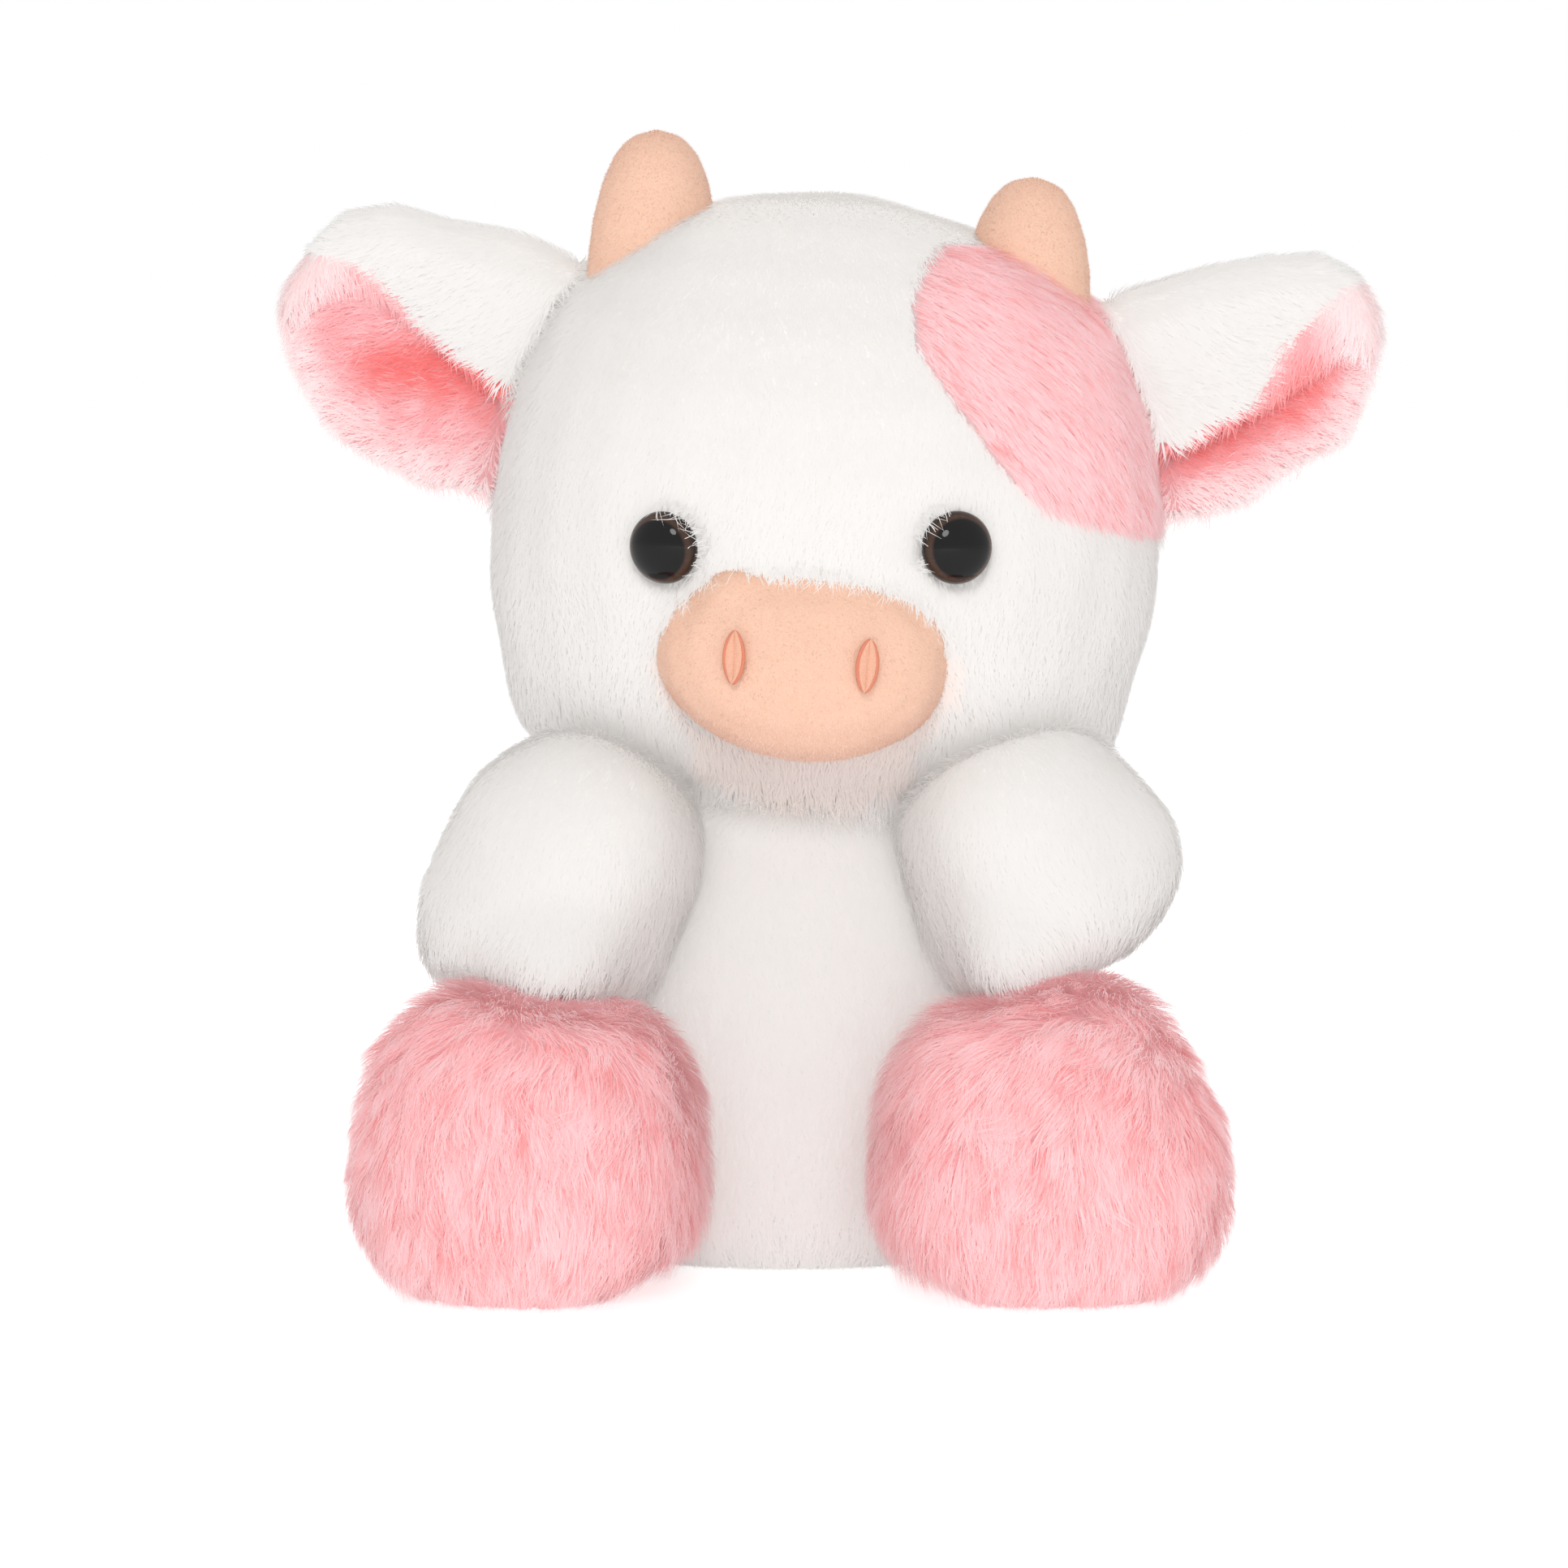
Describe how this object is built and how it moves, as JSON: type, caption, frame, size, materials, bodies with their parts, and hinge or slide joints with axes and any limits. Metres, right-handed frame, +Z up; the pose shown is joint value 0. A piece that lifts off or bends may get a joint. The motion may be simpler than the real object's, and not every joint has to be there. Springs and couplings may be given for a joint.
{
  "type": "plush cow",
  "caption": "Seated plush cow with a round head, long ears, small horns, oval snout, safety eyes, resting paws, big feet and a tufted tail.",
  "frame": {"origin": "The centre of the flat underside of the body, on the surface that the toy sits on.", "axes": "+Z is up, the face looks along -Y, and +X is to the right of someone who faces the toy."},
  "size_m": [0.2269, 0.1435, 0.2293],
  "materials": {
    "body_cover": "soft white plush pile",
    "body_stuffing": "loose polyester fibre fill",
    "pellet_bag": "woven bag of plastic pellets",
    "neck_thread": "polyester sewing thread",
    "head_cover": "soft white plush pile",
    "head_patch": "long pink plush pile",
    "head_stuffing": "loose polyester fibre fill",
    "snout_cover": "short peach velour",
    "snout_stuffing": "loose polyester fibre fill",
    "nostril_left": "satin stitch of coral thread",
    "nostril_right": "satin stitch of coral thread",
    "eye_left": "polished dark safety eye",
    "eye_right": "polished dark safety eye",
    "eye_washer_left": "natural polythene washer",
    "eye_washer_right": "natural polythene washer",
    "horn_left_cover": "short peach velour",
    "horn_left_stuffing": "loose polyester fibre fill",
    "horn_right_cover": "short peach velour",
    "horn_right_stuffing": "loose polyester fibre fill",
    "ear_left_back": "soft white plush pile",
    "ear_left_lining": "short pink plush pile",
    "ear_right_back": "soft white plush pile",
    "ear_right_lining": "short pink plush pile",
    "arm_left_cover": "soft white plush pile",
    "arm_left_stuffing": "loose polyester fibre fill",
    "arm_right_cover": "soft white plush pile",
    "arm_right_stuffing": "loose polyester fibre fill",
    "leg_left_cover": "long pink plush pile",
    "leg_left_stuffing": "loose polyester fibre fill",
    "leg_right_cover": "long pink plush pile",
    "leg_right_stuffing": "loose polyester fibre fill",
    "tail": "soft white plush pile",
    "tail_tuft": "long pink plush pile"
  },
  "bodies": {
    "body": {"body_cover": "body_cover", "body_stuffing": "body_stuffing", "pellet_bag": "pellet_bag", "neck_thread": "neck_thread"},
    "head": {"head_cover": "head_cover", "head_patch": "head_patch", "head_stuffing": "head_stuffing", "snout_cover": "snout_cover", "snout_stuffing": "snout_stuffing", "nostril_left": "nostril_left", "nostril_right": "nostril_right", "eye_left": "eye_left", "eye_right": "eye_right", "eye_washer_left": "eye_washer_left", "eye_washer_right": "eye_washer_right", "horn_left_cover": "horn_left_cover", "horn_left_stuffing": "horn_left_stuffing", "horn_right_cover": "horn_right_cover", "horn_right_stuffing": "horn_right_stuffing"},
    "ear_left": {"ear_left_back": "ear_left_back", "ear_left_lining": "ear_left_lining"},
    "ear_right": {"ear_right_back": "ear_right_back", "ear_right_lining": "ear_right_lining"},
    "arm_left": {"arm_left_cover": "arm_left_cover", "arm_left_stuffing": "arm_left_stuffing"},
    "arm_right": {"arm_right_cover": "arm_right_cover", "arm_right_stuffing": "arm_right_stuffing"},
    "leg_left": {"leg_left_cover": "leg_left_cover", "leg_left_stuffing": "leg_left_stuffing"},
    "leg_right": {"leg_right_cover": "leg_right_cover", "leg_right_stuffing": "leg_right_stuffing"},
    "tail": {"tail": "tail", "tail_tuft": "tail_tuft"}
  },
  "joints": [
    {"name": "head_turn", "type": "hinge", "parent": "body", "child": "head", "pos_m": [0.0045, 0, 0.0954], "axis": [0, 0, 1], "range_deg": [-6, 6], "stiffness_Nm_per_rad": 0.3},
    {"name": "ear_left_flop", "type": "hinge", "parent": "head", "child": "ear_left", "pos_m": [-0.05073, 0.00338, 0.18174], "axis": [0.3496, -0.0214, 0.9367], "range_deg": [-10, 10], "stiffness_Nm_per_rad": 0.05},
    {"name": "ear_right_flop", "type": "hinge", "parent": "head", "child": "ear_right", "pos_m": [0.06982, -0.004, 0.17435], "axis": [-0.233, 0.0142, 0.9724], "range_deg": [-10, 10], "stiffness_Nm_per_rad": 0.05},
    {"name": "arm_left_swing", "type": "hinge", "parent": "body", "child": "arm_left", "pos_m": [-0.03755, -0.0045, 0.076], "axis": [-0.342, 0, -0.9397], "range_deg": [0, 18], "stiffness_Nm_per_rad": 0.1},
    {"name": "arm_right_swing", "type": "hinge", "parent": "body", "child": "arm_right", "pos_m": [0.04445, -0.0045, 0.076], "axis": [-0.342, 0, 0.9397], "range_deg": [0, 18], "stiffness_Nm_per_rad": 0.1},
    {"name": "leg_left_splay", "type": "hinge", "parent": "body", "child": "leg_left", "pos_m": [-0.0485, -0.01182, 0.0315], "axis": [0, 0, -1], "range_deg": [0, 15], "stiffness_Nm_per_rad": 0.2},
    {"name": "leg_right_splay", "type": "hinge", "parent": "body", "child": "leg_right", "pos_m": [0.0485, -0.01182, 0.0315], "axis": [0, 0, 1], "range_deg": [0, 15], "stiffness_Nm_per_rad": 0.2},
    {"name": "tail_flick", "type": "hinge", "parent": "body", "child": "tail", "pos_m": [0, 0.04078, 0.04421], "axis": [0, 0.9842, 0.1773], "range_deg": [-25, 25], "stiffness_Nm_per_rad": 0.02}
  ]
}
